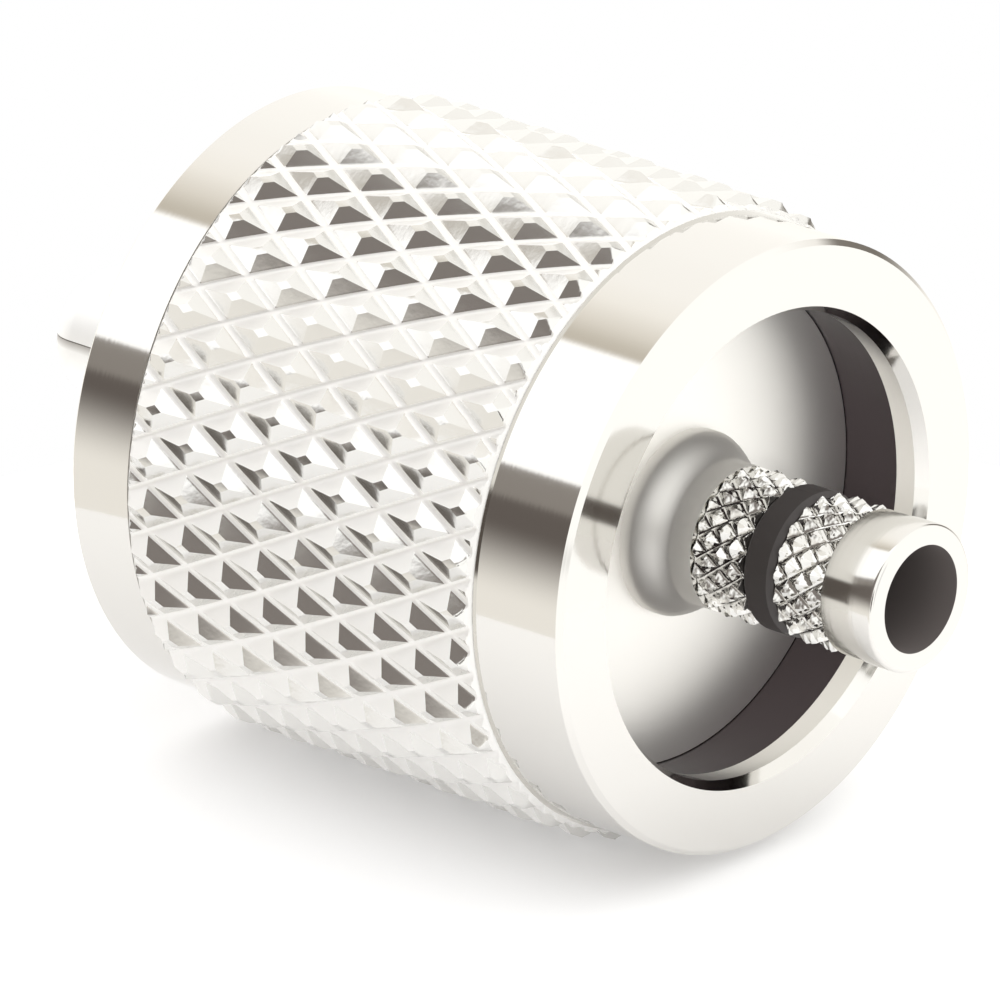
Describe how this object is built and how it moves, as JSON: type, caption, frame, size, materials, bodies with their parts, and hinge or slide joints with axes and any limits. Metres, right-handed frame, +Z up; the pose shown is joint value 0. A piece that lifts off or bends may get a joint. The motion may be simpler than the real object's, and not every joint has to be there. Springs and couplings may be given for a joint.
{
  "type": "uhf coaxial crimp plug",
  "caption": "Coaxial cable plug: a diamond-knurled coupling nut turns on a plated body with a round contact pin in front and a knurled crimp stem behind.",
  "frame": {"origin": "on the plug's axis, in the plane of the coupling nut's front mouth", "axes": "+X along the axis towards the cable end, +Z up with the plug lying on its side, +Y across it"},
  "size_m": [0.0327, 0.0194, 0.0194],
  "materials": {
    "nut_plate": "bright nickel plate on turned brass",
    "body_plate": "nickel plate, fine turned satin",
    "black_ring": "smooth black rubber",
    "insulator_white": "turned white fluoropolymer",
    "pin_plate": "bright nickel plate on turned brass"
  },
  "bodies": {
    "plug_body": {"connector_body": "body_plate", "stem_ring": "black_ring", "insulator": "insulator_white", "contact_pin": "pin_plate"},
    "coupling": {"coupling_nut": "nut_plate"}
  },
  "joints": [
    {"name": "nut_spin", "type": "hinge", "parent": "plug_body", "child": "coupling", "pos_m": [0, 0, 0], "axis": [1, 0, 0], "continuous": true}
  ]
}
